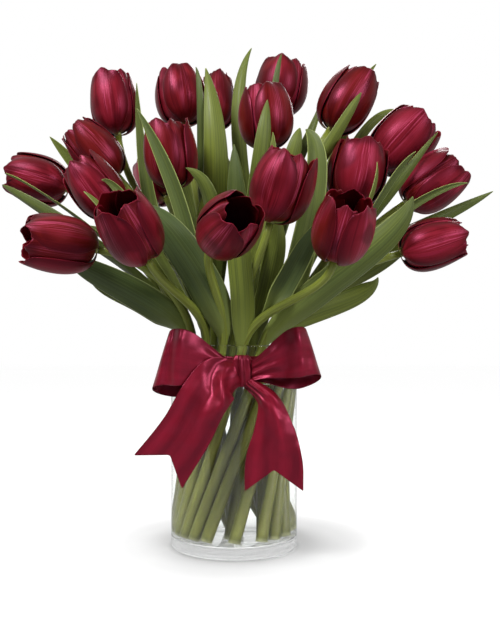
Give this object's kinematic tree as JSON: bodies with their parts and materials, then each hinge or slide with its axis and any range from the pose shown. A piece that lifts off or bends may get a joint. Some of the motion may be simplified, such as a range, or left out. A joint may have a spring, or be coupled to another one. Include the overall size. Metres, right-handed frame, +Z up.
{
  "type": "tulip bouquet in glass vase",
  "caption": "Bunch of dark red cut tulips with long green leaves standing in a clear glass cylinder vase of water, tied round the neck with a wine red satin bow.",
  "frame": {"origin": "centre of the vase's foot, on the surface that it stands on", "axes": "+Z up along the vase's axis, -Y towards the front, where the bow is, +X to the right seen from the front"},
  "size_m": [0.5005, 0.3692, 0.5194],
  "materials": {
    "glass": "clear polished",
    "water": "clear still water",
    "leaf_green": "matte fresh leaf",
    "petal_red": "silky petal",
    "ribbon_satin": "satin"
  },
  "bodies": {
    "root": {"vase": "glass", "water": "water", "stem_a": "leaf_green", "bloom_a": "petal_red", "stem_b": "leaf_green", "bloom_b": "petal_red", "stem_c": "leaf_green", "bloom_c": "petal_red", "stem_d": "leaf_green", "bloom_d": "petal_red", "stem_e": "leaf_green", "bloom_e": "petal_red", "stem_f": "leaf_green", "bloom_f": "petal_red", "stem_g": "leaf_green", "bloom_g": "petal_red", "stem_h": "leaf_green", "bloom_h": "petal_red", "stem_i": "leaf_green", "bloom_i": "petal_red", "stem_j": "leaf_green", "bloom_j": "petal_red", "stem_k": "leaf_green", "bloom_k": "petal_red", "stem_l": "leaf_green", "bloom_l": "petal_red", "stem_m": "leaf_green", "bloom_m": "petal_red", "stem_n": "leaf_green", "bloom_n": "petal_red", "stem_o": "leaf_green", "bloom_o": "petal_red", "stem_p": "leaf_green", "bloom_p": "petal_red", "stem_q": "leaf_green", "bloom_q": "petal_red", "stem_r": "leaf_green", "bloom_r": "petal_red", "stem_s": "leaf_green", "bloom_s": "petal_red", "stem_t": "leaf_green", "bloom_t": "petal_red", "stem_u": "leaf_green", "bloom_u": "petal_red", "stem_v": "leaf_green", "bloom_v": "petal_red", "ribbon_band": "ribbon_satin", "ribbon_knot": "ribbon_satin", "bow_loop_left": "ribbon_satin", "ribbon_tail_left": "ribbon_satin", "bow_loop_right": "ribbon_satin", "ribbon_tail_right": "ribbon_satin"}
  },
  "joints": []
}
